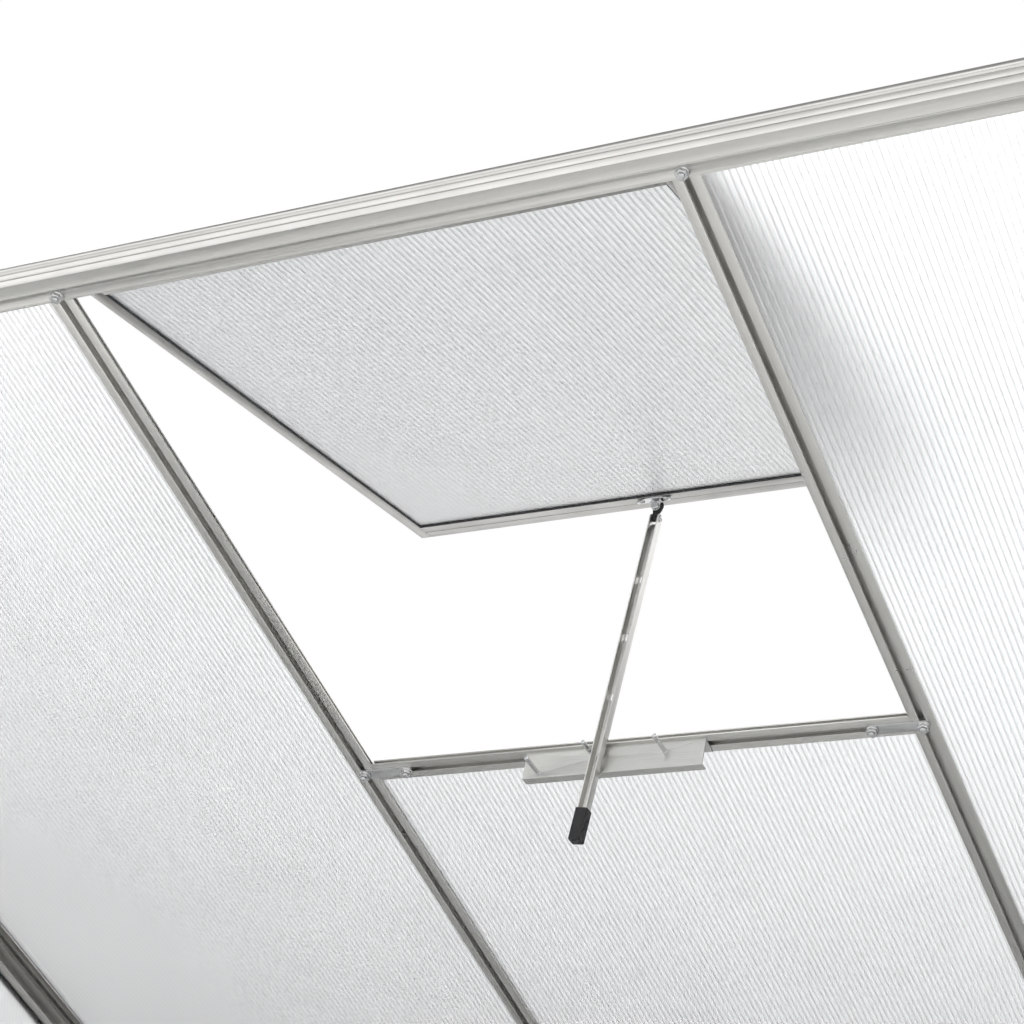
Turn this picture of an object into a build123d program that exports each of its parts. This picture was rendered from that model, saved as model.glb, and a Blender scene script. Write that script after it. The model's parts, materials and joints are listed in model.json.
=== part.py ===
from build123d import *
import os
from math import cos, floor, radians, sin, tan

# Lean-to cold frame in aluminium and twin-wall sheet, millimetres, +Z up.
# The tall open back stands against a wall at +Y and the low front faces -Y.

# ---- overall sizes
pitch = 30.0              # roof slope
slope = 1250.0            # wall bar bolts to eave bolts, along the slope
eave_height = 330.0       # roof inner face at the eave bolts, above the ground
bay = 600.0               # middle bay, between glazing bar centres
end_bay = 614.0           # glazing bar centre to end rafter centre
sill_drop = 645.0         # wall bar bolts to the vent sill centre, along the slope

# ---- glazing
sheet = 4.0               # twin-wall sheet thickness
skin = 0.5
web = 0.45
flute = 6.0               # web spacing
slot_gap = 0.35           # play on each face of a sheet in its slot
edge_gap = 1.0            # play between a sheet edge and the bottom of its slot
sheet_over = 12.0         # roof sheet above the wall bar bolts
sheet_tail = 22.0         # roof sheet past the eave bolts
eave_play = 0.1           # front sheet to the underside of the eave flange
end_cap = 0.8
end_cap_reach = 9.0       # cap lap over the sheet

# ---- bar section, shared by glazing bars, sill and studs
wall = 1.5
face = 24.0               # inner face width
bolt_slot = 6.4
channel = 10.4            # inside width of the bolt channel
outer_face = 20.0
bar_depth = 15.0
rib = 2.0
rib_bead = 4.0
bar_over = 14.0           # bar end above the wall bar bolts
bar_tail = 20.0           # bar end past the eave bolts

# ---- wall bar and eave bar
flange = 2.0              # the lapped flange under the glazing bars
flange_low = 5.7          # flange reach below the bolt line
flange_high = 19.5        # wall bar flange reach above the bolt line
rib_line = 7.4            # locating rib, above the bolt line
back_face = 18.5          # bolt line to the face against the wall
back_web = 2.5
back_rise = 8.0           # foot of the back web above the bolt line
bead_rise = 24.0          # hinge centre above the bolt line
bead_back = 14.0          # hinge centre behind the bolt line
hinge_r = 3.1             # vent hinge bead
hinge_play = 0.3
hinge_wall = 1.1
fork_depth = 24.0         # eave fork, top to bottom
front_set = 10.3          # eave bolt line to the front wall inner face
fork_bite = 9.0           # sheet held in a post's fork

# ---- end rafter
leg = 30.0                # outer leg below the roof inner face
foot_drop = 26.0          # inner foot below the roof inner face
foot_reach = 12.3

# ---- vent window
open_angle = 24.75        # open on the last hole of the stay
vent_gap = 2.5            # vent frame to glazing bar
sill_gap = 3.0            # vent frame to sill
vent_rise = 1.0           # closed underside above the roof inner face
side_rail = 12.5
bottom_rail = 26.5
weather_side = 17.5       # lips that cover the bar ribs
weather_low = 24.0
weather_gap = 1.0

# ---- peg bracket on the sill
bracket_left = 109.0
bracket_right = -84.0
bracket_web = 30.0
bracket_lip = 10.0
bracket_tilt = 9.0
bracket_set = 8.2         # web ahead of the sill centre
bracket_flange = 19.0
bracket_bolt_in = 28.0    # bracket end to its bolt
plate = 1.5
peg_d = 4.5
peg_length = 30.0
peg_play = 0.45           # middle peg to the arm beside it

# ---- stay
stay_out = 11.8           # window edge to the link centre
ear_r = 6.0
swivel_drop = 6.2         # window underside to the swivel bolt
pin_drop = 12.5           # swivel bolt to the stay pin
eye = 4.7
stay_tilt = 5.1           # sideways lean at rest
stay_fore = 12.1          # lean towards the eave at rest, off the roof normal
stay_width = 10.0
stay_at_peg = 25.3        # arm centre line beside the middle peg, from the vent centre
stay_wall = 1.2
hole_first = 72.0
hole_pitch = 69.0
hole_count = 4
hole_long = 10.0
hole_wide = 5.6
stay_tail = 90.0          # last hole to the end of the arm
cap_length = 34.0
cap_wall = 1.4

# ---- fasteners
bolt_d = 6.0
bolt_af = 10.0
head_h = 4.0
nut_h = 5.0
shank_out = 9.0           # inner face to the bolt tip
hole_play = 0.2
strap_holes = 50.0
strap_wide = 12.0
strap_thick = 2.0
angle_drop = 20.0         # upright bolt below the rafter foot
angle_half = 10.0
front_angle_in = 20.0     # angle bolt in the corner post, from the front wall
rear_bolt_in = 16.0       # rear post bolts, from the wall

# ---- base
rail_height = 40.0
slot_floor = 20.0
base_bolt_z = 10.5        # strap bolts in the box below the slot
foot_width = 30.0
anchor_d = 7.0
anchor_in = 18.0          # anchor holes, from the walls' inner faces
fixing_heights = (200.0, 700.0)      # wall screws in the rear posts
fixing_d = 6.5

# ---- places that follow from the sizes
slot = sheet + 2 * slot_gap
half_bay = bay / 2
end_u = half_bay + end_bay
run = slope * cos(radians(pitch))
front_reach = front_set + bar_depth
ridge_y = (run + back_face + front_reach) / 2 - back_face
ridge_z = eave_height + slope * sin(radians(pitch))
eave_y = ridge_y - run
side_x = end_u + face / 2 - 2.2      # inner face of the side walls
fork_in = side_x + wall              # inner side of the side sheet slot
fork_out = fork_in + slot
out_x = fork_out + wall
front_y = eave_y - front_set         # inner face of the front wall
front_in = front_y - wall
front_out = front_in - slot
out_y = front_out - wall
wall_y = ridge_y + back_face
bar_end = half_bay - face / 2
hinge_y = bead_back * cos(radians(pitch)) + bead_rise * sin(radians(pitch))
hinge_z = bead_rise * cos(radians(pitch)) - bead_back * sin(radians(pitch))
under = vent_rise - hinge_z          # vent underside, from the hinge
vent_half = bar_end - vent_gap
vent_low = -(sill_drop - face / 2 - sill_gap + hinge_y)
vent_top = -31.0
lip_z = bar_depth + weather_gap - hinge_z
stay_y = vent_low + stay_out
swivel_z = under - swivel_drop
hole_last = hole_first + (hole_count - 1) * hole_pitch
stay_end = hole_last + stay_tail
joint_gap = 0.3
middle_peg = stay_at_peg + stay_width / 2 + peg_d / 2 + peg_play
pegs = ((92.0, 24.5), (middle_peg, 11.5), (-43.0, 11.5))

roof = Plane(
    origin=(0, ridge_y, ridge_z),
    x_dir=(1, 0, 0),
    z_dir=(0, -sin(radians(pitch)), cos(radians(pitch))),
).location
vent_closed = roof * Pos(0, hinge_y, hinge_z)
vent = vent_closed * Rot(-open_angle, 0, 0)
link = vent * Pos(0, stay_y, swivel_z) * Rot(0, -stay_tilt, 0)
stay = link * Pos(0, 0, -pin_drop) * Rot(open_angle - stay_fore, 0, 0)


def box(x0, x1, y0, y1, z0, z1):
    """A block between two corners."""
    return Pos((x0 + x1) / 2, (y0 + y1) / 2, (z0 + z1) / 2) * Box(
        abs(x1 - x0), abs(y1 - y0), abs(z1 - z0)
    )


def rect(a0, a1, b0, b1):
    """A rectangle of a section, between two corners."""
    return Pos((a0 + a1) / 2, (b0 + b1) / 2) * Rectangle(abs(a1 - a0), abs(b1 - b0))


def joined(pieces):
    """The union of overlapping pieces of one section or solid."""
    total = pieces[0]
    for piece in pieces[1:]:
        total = total + piece
    return total


def along_x(section, x0, x1):
    """A (y, z) section run along X."""
    return extrude(Plane.YZ.offset(x0) * section, amount=x1 - x0)


def along_y(section, y0, y1):
    """An (x, z) section run along Y."""
    plane = Plane(origin=(0, y0, 0), x_dir=(1, 0, 0), z_dir=(0, -1, 0))
    return extrude(plane * section, amount=y0 - y1)


def along_z(section, z0, z1):
    """An (x, y) section run along Z."""
    return extrude(Plane.XY.offset(z0) * section, amount=z1 - z0)


def rod(radius, length):
    """A round rod from the origin towards +Z."""
    return Pos(0, 0, length / 2) * Cylinder(radius, length)


def hex_rod(flats, length):
    """A hexagonal rod from the origin towards +Z, flats facing +-Y."""
    return extrude(RegularPolygon(flats / 2, 6, major_radius=False), length)


def group(shapes):
    """Identical separate pieces kept in one node."""
    return Compound(children=[solid for shape in shapes for solid in shape.solids()])


def mirrored(shape):
    """The same piece on the other side of the frame."""
    return mirror(shape, about=Plane.YZ)


def below_roof(shape, depth):
    """The shape cut off along the slope, depth under the roof inner face."""
    reach = 2 * (slope + end_u)
    cutter = box(-reach, reach, -reach, reach, -depth, reach)
    return shape - roof * cutter


# ---------------------------------------------------------------- sections
def bar_section():
    """Glazing bar across (x, depth): slotted bolt channel, sheet slots, rib."""
    half = face / 2
    plate_z = wall + slot
    parts = [rect(-outer_face / 2, outer_face / 2, plate_z, plate_z + wall)]
    for side in (-1, 1):
        parts.append(rect(side * bolt_slot / 2, side * half, 0, wall))
        parts.append(rect(side * channel / 2, side * (channel / 2 + 1.4), 0, plate_z + wall))
    parts.append(rect(-rib / 2, rib / 2, plate_z, bar_depth))
    parts.append(rect(-rib_bead / 2, rib_bead / 2, bar_depth - rib, bar_depth))
    return joined(parts)


def rafter_section():
    """Left end rafter across (x from its centre, depth)."""
    half = face / 2
    plate_z = wall + slot
    inner = side_x - end_u
    fork = fork_in - end_u
    outer = fork_out - end_u
    parts = [
        rect(-half, -bolt_slot / 2, 0, wall),
        rect(bolt_slot / 2, outer + wall, 0, wall),
        rect(-outer_face / 2, outer + wall, plate_z, plate_z + wall),
        rect(outer, outer + wall, -leg, plate_z + wall),
        rect(inner, fork, -foot_drop, wall),
        rect(fork - foot_reach, fork, -foot_drop, wall - foot_drop),
    ]
    for side in (-1, 1):
        parts.append(rect(side * channel / 2, side * (channel / 2 + 1.4), 0, plate_z + wall))
    return joined(parts)


def sloped(section):
    """A section drawn along the slope, turned level for a bar run along X."""
    return Rot(0, 0, pitch) * section


def wall_bar_section():
    """Wall bar in level (y, z) from the bolt line."""
    hinge = Pos(bead_back, bead_rise)
    bead_r = hinge_r + hinge_play + hinge_wall
    web_y = back_face - back_web
    web_top = bead_rise - bead_r - 0.4
    groove = 1.2
    lip_level = wall + slot + wall + 0.5
    flange_plate = rect(-flange_low, flange_high, -flange, 0)
    locating_rib = rect(rib_line - 0.6, rib_line + 0.6, -flange - 0.8, -flange + 0.2)
    upper_lip = rect(flange_low + 0.3, hinge_y + 0.4, lip_level, lip_level + wall)
    total = joined([
        sloped(flange_plate),
        sloped(locating_rib),
        rect(web_y, back_face, back_rise, web_top),
        rect(web_y - back_web, web_y + 0.4, web_top - back_web, bead_rise),
        sloped(upper_lip),
        hinge * Circle(bead_r),
    ])
    total = total - hinge * Circle(hinge_r + hinge_play)
    # the mouth of the hinge socket lets the vent web swing from closed to open
    mouth_from = 128.0
    mouth_to = 231.0
    reach = 3 * bead_r
    corners = [(0, 0)]
    for angle in (mouth_from, (mouth_from + mouth_to) / 2, mouth_to):
        corners.append((reach * cos(radians(angle)), reach * sin(radians(angle))))
    mouth = make_face(Polyline(*corners, close=True))
    keep = sloped(rect(-flange_low, hinge_y + 5, -flange - 2, lip_level + wall))
    total = total - (hinge * mouth - keep)
    low = back_rise + (web_top - back_rise) / 2
    return total - rect(back_face - groove, back_face + 1, low, low + groove)


def eave_bar_section():
    """Eave bar in level (y, z) from the eave bolt line."""
    inner = -front_set
    outer = inner - 2 * wall - slot
    low = eave_fork_low() - eave_height
    reach = -outer / cos(radians(pitch)) + 0.4
    inner_top = (inner - wall) * tan(radians(pitch)) - 0.5
    outer_top = outer * tan(radians(pitch)) - 0.5
    return joined([
        sloped(rect(-reach, flange_low, -flange, 0)),
        rect(inner - wall, inner, low, inner_top),
        rect(outer, outer + wall, low, outer_top),
    ])


def eave_fork_low():
    """Height of the underside of the eave fork."""
    return eave_height - front_set * tan(radians(pitch)) - 1.0 - fork_depth


def base_section(inward):
    """Base rail across (outward from the inner face, height)."""
    depth = 2 * wall + slot
    return joined([
        rect(depth - wall, depth, 0, rail_height),
        rect(0, wall, 0, rail_height),
        rect(0, depth, slot_floor, slot_floor + wall),
        rect(-inward, depth, 0, wall),
    ])


# ---------------------------------------------------------------- roof frame
def wall_bar():
    """Top bar on the wall: lapped flange, back face and vent hinge socket."""
    half = side_x - joint_gap - 1
    bar = Pos(0, ridge_y, ridge_z) * along_x(wall_bar_section(), -half, half)
    return bar - roof_holes(0)


def eave_bar():
    """Eave bar: lapped flange over a fork for the front sheets."""
    half = side_x - joint_gap - 1
    bar = Pos(0, eave_y, eave_height) * along_x(eave_bar_section(), -half, half)
    bar = bar - roof_holes(-slope)
    for x in (-corner_bolt_x(), -half_bay, half_bay, corner_bolt_x()):
        bar = bar - wall_hole(x, None, eave_bolt_z())
    return bar


def eave_bolt_z():
    """Height of the strap bolts in the eave fork."""
    return eave_fork_low() + 10.0


def roof_holes(along):
    """Bolt holes through a flange, at every glazing bar and rafter."""
    holes = []
    for u in (-end_u, -half_bay, half_bay, end_u):
        holes.append(Pos(u, along, -flange - 2) * rod(bolt_d / 2 + hole_play, flange + 3))
    return roof * Compound(children=holes)


def glazing_bar(u):
    """Glazing bar from the wall bar to the eave, its rib cut away under the wall bar."""
    bar = along_y(bar_section(), -slope - bar_tail, bar_over)
    rib_level = 2 * wall + slot + 0.1
    bar = bar - box(-face, face, -sheet_over, bar_over + 1, rib_level, bar_depth + 1)
    return roof * Pos(u, 0, 0) * bar


def end_rafter():
    """Left end rafter, a corner bar that also holds the side wall sheets."""
    bar = along_y(rafter_section(), -slope - bar_tail, bar_over)
    for y in angle_places():
        bar = bar - Pos(angle_screw_x(), y, -foot_drop - 1) * rod(2.2, 4)
    beyond_wall = box(0, 2 * end_u, wall_y, wall_y + 50, 0, 2 * ridge_z)
    return roof * Pos(end_u, 0, 0) * bar - beyond_wall


def vent_sill():
    """Sill of the vent opening, the glazing bar section laid across."""
    half = bar_end - joint_gap
    bar = Rot(0, 0, 90) * along_y(bar_section(), -half, half)
    return roof * Pos(0, -sill_drop, 0) * bar


def strap_blank():
    """Flat strap with round ends and two bolt holes, on z 0 to its thickness."""
    blank = SlotCenterToCenter(strap_holes, strap_wide)
    for side in (-1, 1):
        blank = blank - Pos(side * strap_holes / 2, 0) * Circle(bolt_d / 2 + hole_play)
    return extrude(blank, strap_thick)


def sill_strap():
    """Left strap that ties the sill to the glazing bar."""
    return roof * Pos(half_bay - strap_holes / 2, -sill_drop, -strap_thick) * strap_blank()


def peg_bracket():
    """Bent plate under the sill that carries the stay pegs."""
    edge = -sill_drop + bracket_set
    flange_plate = box(bracket_right, bracket_left, edge - bracket_flange, edge, -plate, 0)
    bent = joined([
        box(bracket_right, bracket_left, -plate, 0, -bracket_web, -0.35),
        box(bracket_right, bracket_left, -bracket_lip, 0, -bracket_web, plate - bracket_web),
    ])
    for u, drop in pegs:
        bent = bent - Pos(u, 1, -drop) * Rot(90, 0, 0) * rod(1.6, 4)
    shape = flange_plate + bracket_frame() * bent
    for u in bracket_bolts():
        shape = shape - Pos(u, -sill_drop, -4) * rod(bolt_d / 2 + hole_play, 6)
    return roof * shape


def bracket_frame():
    """The bent web's own frame, from the bend at the sill's inner face."""
    return Pos(0, -sill_drop + bracket_set, 0) * Rot(-bracket_tilt, 0, 0)


def bracket_bolts():
    """Bolt places along the bracket flange."""
    return (bracket_left - bracket_bolt_in, bracket_right + bracket_bolt_in)


def bracket_pegs():
    """Three turned pegs riveted through the bracket web."""
    shapes = []
    for u, drop in pegs:
        body = chamfer(rod(peg_d / 2, peg_length).edges().sort_by(Axis.Z)[-1], 1.0)
        shank = Pos(0, 0, -plate) * rod(1.5, plate)
        head = Pos(0, 0, -plate - 1.2) * rod(3.0, 1.2)
        peg = body + shank + head
        shapes.append(roof * bracket_frame() * Pos(u, 0, -drop) * Rot(-90, 0, 0) * peg)
    return group(shapes)


# ---------------------------------------------------------------- sheets
def twin_wall(width, length):
    """Twin-wall sheet centred on x, flutes along y from 0, on z 0 to sheet."""
    count = floor((width - web) / flute)
    cells = []
    for index in range(count):
        x = (index - (count - 1) / 2) * flute
        cells.append(Pos(x, sheet / 2) * Rectangle(flute - web, sheet - 2 * skin))
    section = Pos(0, sheet / 2) * Rectangle(width, sheet) - cells
    return along_y(section, 0, length)


def sheet_rise():
    """Underside of a sheet above the inner face of its bar."""
    return wall + slot_gap


def slot_edge():
    """Sheet edge from the bar centre."""
    return channel / 2 + 1.4 + edge_gap


def roof_panel_side():
    """Left roof sheet, wall bar to eave."""
    width = end_bay - 2 * slot_edge()
    low = -slope - sheet_tail
    place = Pos(half_bay + end_bay / 2, low, sheet_rise())
    return roof * place * twin_wall(width, sheet_over - low)


def roof_panel_centre():
    """Roof sheet below the vent sill."""
    high = -sill_drop - slot_edge()
    low = -slope - sheet_tail
    return roof * Pos(0, low, sheet_rise()) * twin_wall(bay - 2 * slot_edge(), high - low)


def upright_sheet(width, height, turn):
    """A sheet with upright flutes, standing on its place, outer skin outwards."""
    return Rot(0, 0, turn) * Rot(90, 0, 0) * twin_wall(width, height)


def front_panel(centre, width):
    """A front wall sheet between two studs."""
    low = slot_floor + wall + edge_gap
    flange_drop = (front_set + wall + slot) * tan(radians(pitch)) + flange / cos(radians(pitch))
    high = eave_height - flange_drop - eave_play
    return Pos(centre, front_in - slot_gap, low) * upright_sheet(width, high - low, 0)


def side_panel(y0, y1):
    """A left side sheet between two uprights, its top cut along the slope."""
    low = slot_floor + wall + edge_gap
    width = y1 - y0
    place = Pos(fork_in + slot_gap, (y0 + y1) / 2, low)
    blank = place * upright_sheet(width, ridge_z, 90)
    return below_roof(blank, edge_gap)


def panel_end_cap(centre, width):
    """Channel that closes the flutes at the eave."""
    end = -slope - sheet_tail - hole_play
    low = sheet_rise()
    top = low + sheet + hole_play
    section = joined([
        rect(end - end_cap, end, low - 0.1, top + end_cap),
        rect(end - end_cap, end + hole_play + end_cap_reach, top, top + end_cap),
    ])
    return roof * Pos(centre, 0, 0) * along_x(section, -width / 2, width / 2)


# ---------------------------------------------------------------- walls
def upright(x, turn, high):
    """A wall stud of the bar section standing on the base rail."""
    bar = along_z(Rot(0, 0, 180) * bar_section(), 0, high)
    return Pos(x[0], x[1], rail_height + 0.5) * Rot(0, 0, turn) * bar


def front_stud(u):
    """Front wall stud below a glazing bar."""
    high = eave_fork_low() - joint_gap - rail_height - 0.5
    return upright((u, front_y), 0, high)


def side_stud_y():
    """The side stud stands halfway along the side wall."""
    return (front_y + wall_y) / 2


def side_stud():
    """Left side wall stud, its top cut along the slope."""
    blank = upright((side_x, side_stud_y()), 90, ridge_z)
    return below_roof(blank, leg + joint_gap)


def front_post():
    """Left front corner post with a fork for each wall."""
    section = joined([
        rect(fork_out, out_x, out_y, post_side_end()),
        rect(post_front_end(), out_x, out_y, front_out),
        rect(side_x, fork_in, out_y, post_side_end()),
        rect(post_front_end(), out_x, front_in, front_y),
    ])
    post = along_z(section, 0, eave_height)
    post = post - wall_hole(corner_bolt_x(), None, base_bolt_z)
    post = post - wall_hole(None, corner_bolt_y(), base_bolt_z)
    post = post - wall_hole(corner_bolt_x(), None, eave_bolt_z() - strap_holes)
    post = post - wall_hole(None, front_angle_y(), angle_z(angle_places()[0]))
    return below_roof(post, leg + joint_gap)


def corner_bolt_x():
    """Front strap bolt in the corner post, clear of the rafter angle."""
    return side_x - foot_reach - strap_wide / 2 - 1.5


def corner_bolt_y():
    """Side strap bolt in the front corner post."""
    return front_y + strap_wide / 2 + 6.3


def front_angle_y():
    """Rafter angle bolt in the front corner post."""
    return front_y + front_angle_in


def bolt_room():
    """From a bolt to the nearest sheet edge beside its head."""
    return bolt_af * 0.58 + edge_gap


def front_sheet_end():
    """Outer edge of the end front sheets, beside the corner post bolts."""
    return corner_bolt_x() - bolt_room()


def side_sheet_start():
    """Front edge of the side sheets, beside the corner post bolts."""
    return front_angle_y() + bolt_room()


def side_sheet_end():
    """Rear edge of the side sheets, beside the rear post bolts."""
    return rear_bolt_y() - bolt_room()


def post_front_end():
    """Mouth of the corner post's front fork."""
    return front_sheet_end() - fork_bite


def post_side_end():
    """Mouth of the corner post's side fork."""
    return side_sheet_start() + fork_bite


def rear_fork_end():
    """Mouth of the rear post's fork."""
    return side_sheet_end() - fork_bite


def wall_hole(x, y, z):
    """Bolt hole through an inner wall only: at x in the front, at y in the side."""
    radius = bolt_d / 2 + hole_play
    if y is None:
        return Pos(x, front_y + 1, z) * Rot(90, 0, 0) * rod(radius, wall + 2)
    return Pos(side_x - 1, y, z) * Rot(0, 90, 0) * rod(radius, wall + 2)


def wall_post():
    """Left rear post against the wall, forked for the side sheet."""
    section = joined([
        rect(end_u - face / 2, out_x, wall_y - wall, wall_y),
        rect(side_x, fork_in, rear_fork_end(), wall_y),
        rect(fork_out, out_x, rear_fork_end(), wall_y),
    ])
    post = along_z(section, 0, ridge_z)
    post = post - wall_hole(None, rear_bolt_y(), base_bolt_z)
    post = post - wall_hole(None, rear_bolt_y(), angle_z(angle_places()[2]))
    for z in fixing_heights:
        hole = Rot(90, 0, 0) * Pos(0, 0, -5) * rod(fixing_d / 2, 10)
        post = post - Pos(end_u, wall_y - wall, z) * hole
    return below_roof(post, leg + joint_gap)


def rear_bolt_y():
    """Strap and angle bolts in the rear post."""
    return wall_y - rear_bolt_in


def base_rail_front():
    """Front base rail between the corner posts."""
    half = post_front_end() - 0.5
    section = mirror(base_section(foot_width), about=Plane.YZ)
    rail = Pos(0, front_y, 0) * along_x(section, -half, half)
    for x in (-half_bay, half_bay, -corner_bolt_x() + strap_holes, corner_bolt_x() - strap_holes):
        rail = rail - wall_hole(x, None, base_bolt_z)
    for x in (-end_u + end_bay / 2, end_u - end_bay / 2):
        rail = rail - Pos(x, front_y + anchor_in, -1) * rod(anchor_d / 2, 4)
    return rail


def base_rail_side():
    """Left base rail between the corner post and the rear post."""
    y0 = post_side_end() + 0.5
    y1 = rear_fork_end() - 0.5
    rail = Pos(side_x, 0, 0) * along_y(base_section(foot_width), y0, y1)
    # the front end of the foot stops clear of the front rail's foot
    rail = rail - box(side_x - 40, side_x - joint_gap, y0 - 1, front_y + foot_width + 1, -1, 5)
    for y in (side_stud_y(), corner_bolt_y() + strap_holes, rear_bolt_y() - strap_holes):
        rail = rail - wall_hole(None, y, base_bolt_z)
    for y in (side_stud_y() - run / 4, side_stud_y() + run / 4):
        rail = rail - Pos(side_x - anchor_in, y, -1) * rod(anchor_d / 2, 4)
    return rail


# ---------------------------------------------------------------- straps and angles
def front_strap(x, z, turn):
    """A strap on the inner face of the front wall."""
    return Pos(x, front_y, z) * Rot(-90, 0, 0) * Rot(0, 0, turn) * strap_blank()


def side_strap(y, z, turn):
    """A strap on the inner face of the left side wall."""
    return Pos(side_x, y, z) * Rot(0, -90, 0) * Rot(0, 0, turn) * strap_blank()


def front_strap_places():
    """(x, z, turn) of each strap on the front wall."""
    low_x = corner_bolt_x() - strap_holes / 2
    high = eave_bolt_z() - strap_holes / 2
    places = [(low_x, base_bolt_z, 0), (-low_x, base_bolt_z, 0)]
    for u in (-half_bay, half_bay):
        places.append((u, base_bolt_z + strap_holes / 2, 90))
    for u in (-corner_bolt_x(), -half_bay, half_bay, corner_bolt_x()):
        places.append((u, high, 90))
    return places


def side_strap_places():
    """(y, z, turn) of each strap on the left side wall."""
    return [
        (corner_bolt_y() + strap_holes / 2, base_bolt_z, 90),
        (side_stud_y(), base_bolt_z + strap_holes / 2, 0),
        (rear_bolt_y() - strap_holes / 2, base_bolt_z, 90),
    ]


def wall_straps():
    """Straps that tie studs and posts to the base rails and the eave bar."""
    shapes = [front_strap(x, z, turn) for x, z, turn in front_strap_places()]
    for y, z, turn in side_strap_places():
        one = side_strap(y, z, turn)
        shapes.extend([one, mirrored(one)])
    return group(shapes)


def strap_ends(places, level_turn):
    """Both bolt places of every strap, as (along, height)."""
    half = strap_holes / 2
    ends = []
    for along, z, turn in places:
        for side in (-half, half):
            ends.append((along + side, z) if turn == level_turn else (along, z + side))
    return ends


def angle_places():
    """Places of the angles along the left rafter: front post, stud, rear post."""
    lean = (foot_drop + angle_drop) * sin(radians(pitch))
    drops = (front_angle_y(), side_stud_y(), rear_bolt_y())
    return [(y - ridge_y - lean) / cos(radians(pitch)) for y in drops]


def angle_y(along):
    """Level y of an angle's upright bolt."""
    return ridge_y + along * cos(radians(pitch)) + (foot_drop + angle_drop) * sin(radians(pitch))


def angle_z(along):
    """Height of an angle's upright bolt."""
    return ridge_z + along * sin(radians(pitch)) - (foot_drop + angle_drop) * cos(radians(pitch))


def angle_screw_x():
    """Foot screw across the rafter, from its centre."""
    return fork_in - end_u - foot_reach + 4.8


def rafter_angles():
    """Angles that hang the uprights under the rafter feet."""
    inner = side_x - end_u
    section = joined([
        rect(inner - 12.5, inner, -foot_drop - strap_thick, -foot_drop),
        rect(inner - strap_thick, inner, -foot_drop - 30, -foot_drop),
    ])
    shapes = []
    for along in angle_places():
        shape = along_y(section, along - angle_half, along + angle_half)
        shape = shape - Pos(angle_screw_x(), along, -foot_drop - 4) * rod(2.2, 6)
        drill = Pos(inner - 4, along, -foot_drop - angle_drop) * Rot(0, 90, 0)
        shape = shape - drill * rod(bolt_d / 2 + hole_play, 6)
        one = roof * Pos(end_u, 0, 0) * shape
        shapes.extend([one, mirrored(one)])
    return group(shapes)


# ---------------------------------------------------------------- fasteners
def slot_bolt():
    """Bolt with its head in a channel: head above z = wall, tip below."""
    head = Pos(0, 0, wall + 0.1) * hex_rod(bolt_af, head_h)
    return head + Pos(0, 0, -shank_out) * rod(bolt_d / 2, shank_out + wall + 0.2)


def nut_blank():
    """Hexagon nut on z -nut_h to 0, bored clear of the bolt."""
    body = Pos(0, 0, -nut_h) * hex_rod(bolt_af, nut_h)
    body = body & Pos(0, 0, -nut_h / 2) * Sphere(bolt_af * 0.66)
    return body - Pos(0, 0, -nut_h - 1) * rod(bolt_d / 2 + 0.05, nut_h + 2)


def roof_fastener_places():
    """Every M6 place in the roof: x, along, clamped thickness and channel turn."""
    places = []
    for along in (0, -slope):
        for u in (-end_u, -half_bay, half_bay, end_u):
            places.append((u, along, flange, 90))
    for side in (-1, 1):
        places.append((side * half_bay, -sill_drop, strap_thick, 90))
        places.append((side * (half_bay - strap_holes), -sill_drop, strap_thick, 0))
    for u in bracket_bolts():
        places.append((u, -sill_drop, plate, 0))
    return places


def roof_bolts():
    """Bolts whose heads slide in the bar channels."""
    shapes = []
    for u, along, _, turn in roof_fastener_places():
        shapes.append(roof * Pos(u, along, 0) * Rot(0, 0, turn) * slot_bolt())
    return group(shapes)


def roof_nuts():
    """Nuts on the inner side of the roof."""
    shapes = []
    for u, along, thick, turn in roof_fastener_places():
        shapes.append(roof * Pos(u, along, -thick) * Rot(0, 0, turn) * nut_blank())
    return group(shapes)


def wall_fasteners(shape, lift):
    """A fastener at both ends of every strap and in every upright angle leg."""
    shapes = []
    front = Rot(90, 0, 0) * Rot(0, 0, 90)
    for x, z in strap_ends(front_strap_places(), 0):
        shapes.append(Pos(x, front_y + lift, z) * front * shape)
    side = Rot(0, 90, 0)
    angles = [(angle_y(along), angle_z(along)) for along in angle_places()]
    for y, z in strap_ends(side_strap_places(), 90) + angles:
        one = Pos(side_x - lift, y, z) * side * shape
        shapes.extend([one, mirrored(one)])
    return group(shapes)


def wall_bolts():
    """Bolts of the wall straps and angles."""
    return wall_fasteners(slot_bolt(), 0)


def wall_nuts():
    """Nuts of the wall straps and angles."""
    return wall_fasteners(nut_blank(), strap_thick)


def foot_screws():
    """Screws that hold the angles to the rafter feet."""
    shapes = []
    for along in angle_places():
        head = Pos(0, 0, -strap_thick - 2.4) * rod(3.6, 2.4)
        shank = Pos(0, 0, -strap_thick) * rod(2.0, strap_thick + wall + 4)
        place = Pos(end_u + angle_screw_x(), along, -foot_drop)
        one = roof * place * (head + shank)
        shapes.extend([one, mirrored(one)])
    return group(shapes)


# ---------------------------------------------------------------- vent window
def panel_floor():
    """Underside of the vent sheet slot, from the hinge."""
    return under + wall


def vent_hinge_rail():
    """Top rail: hinge bead, web over the wall bar and slot for the sheet."""
    floor_z = panel_floor()
    roof_z = floor_z + slot
    back = vent_top
    half_web = wall / 2
    section = joined([
        Circle(hinge_r),
        rect(back - 16, -1.0, -half_web, half_web),
        rect(back - wall, back, under, half_web),
        rect(back - 16, back, under, floor_z),
        rect(back - 14, back, roof_z, roof_z + wall),
    ])
    rail = along_x(section, -vent_half, vent_half)
    for side in (-1, 1):
        inner = side * (vent_half - side_rail - 0.2)
        rail = rail - box(inner, side * (vent_half + 1), back - 17, back + 0.2, under - 1, 5)
    return vent * rail


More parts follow.
